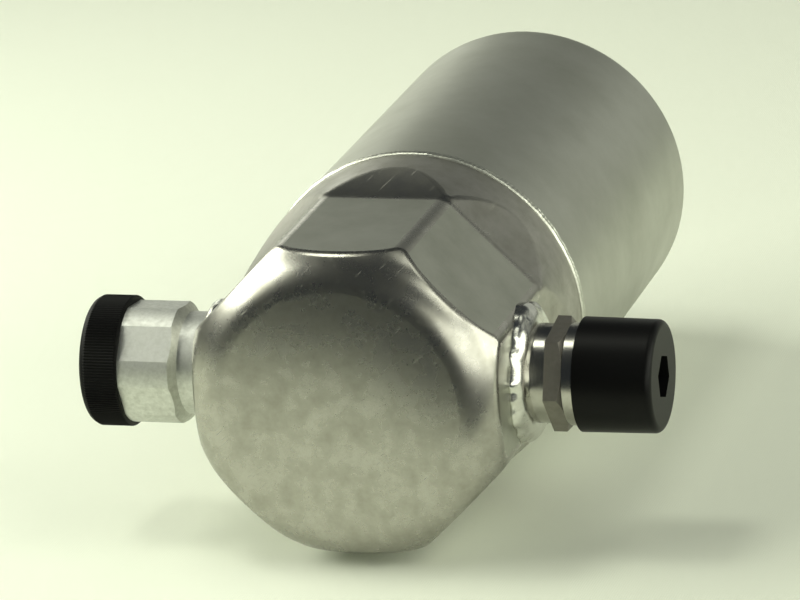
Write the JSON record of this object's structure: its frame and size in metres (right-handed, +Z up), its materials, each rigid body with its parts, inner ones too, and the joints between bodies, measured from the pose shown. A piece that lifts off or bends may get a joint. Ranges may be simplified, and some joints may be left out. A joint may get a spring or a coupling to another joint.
{
  "type": "filter drier",
  "caption": "Round welded canister with a faceted head, two opposed threaded ports under screw caps, and a spring-packed drying bed inside.",
  "frame": {"origin": "on the canister's axis, half way along the straight side that a band clamp holds", "axes": "+Y along the canister from the head to the base, +X from the inlet port to the outlet port, +Z up"},
  "size_m": [0.1317, 0.1724, 0.0772],
  "materials": {
    "canister": "satin",
    "weld": "gloss",
    "fitting": "satin",
    "tube": "satin",
    "cap": "matte",
    "seal": "matte",
    "steel": "satin",
    "screen": "matte",
    "felt": "matte",
    "desiccant": "matte"
  },
  "bodies": {
    "canister": {"head_shell": "canister", "body_shell": "canister", "girth_weld": "weld", "inlet_fitting": "fitting", "inlet_weld": "weld", "outlet_fitting": "fitting", "outlet_weld": "weld", "pickup_tube": "tube", "pickup_strainer": "screen", "upper_tube_sleeve": "seal", "lower_tube_sleeve": "seal", "spring_seat": "steel", "bed_spring": "steel", "upper_plate": "steel", "upper_filter_pad": "felt", "desiccant_bed": "desiccant", "lower_filter_pad": "felt", "lower_plate": "steel", "bed_stand": "steel"},
    "inlet_seal": {"inlet_cap_seal": "seal"},
    "inlet_cap": {"inlet_cap": "cap"},
    "outlet_seal": {"outlet_cap_seal": "seal"},
    "outlet_cap": {"outlet_cap": "cap"}
  },
  "joints": [
    {"name": "inlet_cap_rise", "type": "slide", "parent": "canister", "child": "inlet_seal", "axis": [-1, 0, 0], "range_m": [0, 0.0059]},
    {"name": "inlet_cap_turn", "type": "hinge", "parent": "inlet_seal", "child": "inlet_cap", "pos_m": [-0.0623, -0.08893, 0], "axis": [-1, 0, 0], "range_deg": [0, 1170]},
    {"name": "outlet_cap_rise", "type": "slide", "parent": "canister", "child": "outlet_seal", "axis": [1, 0, 0], "range_m": [0, 0.009]},
    {"name": "outlet_cap_turn", "type": "hinge", "parent": "outlet_seal", "child": "outlet_cap", "pos_m": [0.0574, -0.08893, 0], "axis": [1, 0, 0], "range_deg": [0, 2040]}
  ],
  "couplings": [
    {"joint": "inlet_cap_rise", "follows": "inlet_cap_turn", "m_per_rad": 0.00028875},
    {"joint": "outlet_cap_rise", "follows": "outlet_cap_turn", "m_per_rad": 0.00025266}
  ]
}
